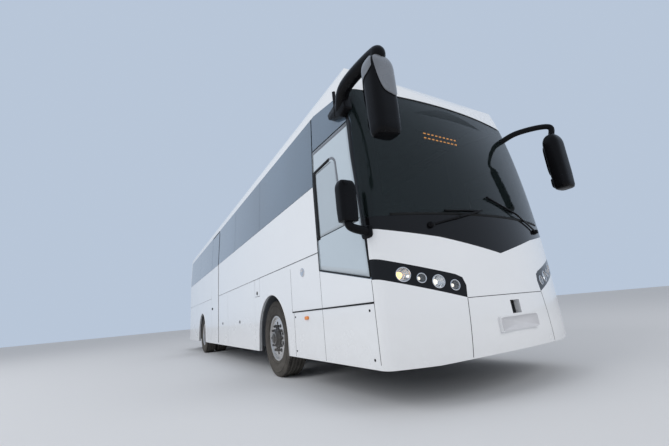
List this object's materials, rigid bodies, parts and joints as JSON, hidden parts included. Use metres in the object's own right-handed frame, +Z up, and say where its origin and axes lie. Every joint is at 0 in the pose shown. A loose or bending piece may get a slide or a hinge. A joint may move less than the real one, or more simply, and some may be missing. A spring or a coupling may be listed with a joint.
{
  "type": "two-axle touring coach with a rear engine, right-hand drive",
  "caption": "White two-axle touring coach with a raked nose, lift-up luggage doors, an emergency door, steering front wheels and twin rear wheels.",
  "frame": {"origin": "on the ground under the middle of the overall box, on the body's centre plane", "axes": "+X forward, +Y towards the nearside with the passenger door, +Z up"},
  "size_m": [12.472, 2.9925, 3.4718],
  "materials": {
    "body_paint": "gloss",
    "front_white": "gloss",
    "black_trim": "satin",
    "black_gloss": "gloss",
    "tinted_glass": "gloss",
    "screen_glass": "gloss",
    "lamp_lens": "gloss",
    "red_lens": "gloss",
    "tyre_rubber": "matte",
    "wheel_alloy": "satin",
    "axle_paint": "satin",
    "frame_paint": "satin",
    "bellow_rubber": "matte",
    "cabin_plastic": "matte",
    "floor_cover": "matte",
    "seat_cloth": "matte",
    "engine_metal": "matte"
  },
  "bodies": {
    "coach_body": {"side_wall_offside": "body_paint", "side_wall_nearside": "body_paint", "roof": "body_paint", "rear_wall": "body_paint", "rear_window": "tinted_glass", "rear_lamps": "red_lens", "front_bumper": "front_white", "front_panel": "front_white", "screen_panel": "black_gloss", "windscreen": "screen_glass", "screen_frame": "black_trim", "lamp_bands": "black_gloss", "front_lamps": "lamp_lens", "side_glazing_offside": "tinted_glass", "side_glazing_nearside": "tinted_glass", "passenger_door": "black_gloss", "floors": "floor_cover", "chassis_frame": "frame_paint", "frame_members": "frame_paint", "front_axle": "axle_paint", "rear_axle": "axle_paint", "air_springs": "bellow_rubber", "powertrain": "engine_metal", "dashboard": "cabin_plastic", "seat_cushions": "seat_cloth", "seat_frames": "seat_cloth", "luggage_racks": "cabin_plastic", "mirrors": "black_trim", "wipers": "black_trim"},
    "emergency_door_leaf": {"emergency_door": "body_paint", "emergency_door_glass": "tinted_glass"},
    "luggage_door_1": {"luggage_door_offside_front": "body_paint"},
    "luggage_door_2": {"luggage_door_offside_rear": "body_paint"},
    "luggage_door_3": {"luggage_door_nearside_front": "body_paint"},
    "luggage_door_4": {"luggage_door_nearside_rear": "body_paint"},
    "fuel_flap": {"filler_flap": "body_paint"},
    "engine_cover": {"engine_lid": "body_paint"},
    "steering": {"steering_wheel": "cabin_plastic"},
    "knuckle_right": {"knuckle_offside": "axle_paint"},
    "knuckle_left": {"knuckle_nearside": "axle_paint"},
    "front_road_wheel_right": {"front_tyre_offside": "tyre_rubber", "front_wheel_offside": "wheel_alloy"},
    "front_road_wheel_left": {"front_tyre_nearside": "tyre_rubber", "front_wheel_nearside": "wheel_alloy"},
    "rear_road_wheels_right": {"rear_tyres_offside": "tyre_rubber", "rear_wheel_offside": "wheel_alloy"},
    "rear_road_wheels_left": {"rear_tyres_nearside": "tyre_rubber", "rear_wheel_nearside": "wheel_alloy"}
  },
  "joints": [
    {"name": "steer_offside", "type": "hinge", "parent": "coach_body", "child": "knuckle_right", "pos_m": [3.09, -0.93, 0.515], "axis": [0, 0, 1], "range_deg": [-45, 45]},
    {"name": "steer_nearside", "type": "hinge", "parent": "coach_body", "child": "knuckle_left", "pos_m": [3.09, 0.93, 0.515], "axis": [0, 0, 1], "range_deg": [-45, 45]},
    {"name": "steering_wheel_turn", "type": "hinge", "parent": "coach_body", "child": "steering", "pos_m": [5.15, -0.64, 1.7], "axis": [-0.5, 0, 0.866], "range_deg": [-810, 810]},
    {"name": "front_wheel_spin_offside", "type": "hinge", "parent": "knuckle_right", "child": "front_road_wheel_right", "pos_m": [3.09, -1.0875, 0.515], "axis": [0, 1, 0], "continuous": true},
    {"name": "front_wheel_spin_nearside", "type": "hinge", "parent": "knuckle_left", "child": "front_road_wheel_left", "pos_m": [3.09, 1.0875, 0.515], "axis": [0, 1, 0], "continuous": true},
    {"name": "rear_wheels_spin_offside", "type": "hinge", "parent": "coach_body", "child": "rear_road_wheels_right", "pos_m": [-3.21, -0.9215, 0.515], "axis": [0, 1, 0], "continuous": true},
    {"name": "rear_wheels_spin_nearside", "type": "hinge", "parent": "coach_body", "child": "rear_road_wheels_left", "pos_m": [-3.21, 0.9215, 0.515], "axis": [0, 1, 0], "continuous": true},
    {"name": "emergency_door_swing", "type": "hinge", "parent": "coach_body", "child": "emergency_door_leaf", "pos_m": [-0.79, -1.275, 1.2], "axis": [0, 0, 1], "range_deg": [0, 90]},
    {"name": "luggage_lift_offside_front", "type": "hinge", "parent": "coach_body", "child": "luggage_door_1", "pos_m": [1.27, -1.275, 1.43], "axis": [-1, 0, 0], "range_deg": [0, 95]},
    {"name": "luggage_lift_offside_rear", "type": "hinge", "parent": "coach_body", "child": "luggage_door_2", "pos_m": [-0.24, -1.275, 1.43], "axis": [-1, 0, 0], "range_deg": [0, 95]},
    {"name": "luggage_lift_nearside_front", "type": "hinge", "parent": "coach_body", "child": "luggage_door_3", "pos_m": [1.27, 1.275, 1.43], "axis": [1, 0, 0], "range_deg": [0, 95]},
    {"name": "luggage_lift_nearside_rear", "type": "hinge", "parent": "coach_body", "child": "luggage_door_4", "pos_m": [-0.72, 1.275, 1.43], "axis": [1, 0, 0], "range_deg": [0, 95]},
    {"name": "fuel_flap_lift", "type": "hinge", "parent": "coach_body", "child": "fuel_flap", "pos_m": [2.433, -1.275, 1.43], "axis": [-1, 0, 0], "range_deg": [0, 100]},
    {"name": "engine_lid_lift", "type": "hinge", "parent": "coach_body", "child": "engine_cover", "pos_m": [-6.23, 0, 1.84], "axis": [0, 1, 0], "range_deg": [0, 80]}
  ],
  "couplings": [
    {"joint": "steer_nearside", "follows": "steer_offside", "ratio": 1},
    {"joint": "steering_wheel_turn", "follows": "steer_offside", "ratio": 18}
  ]
}
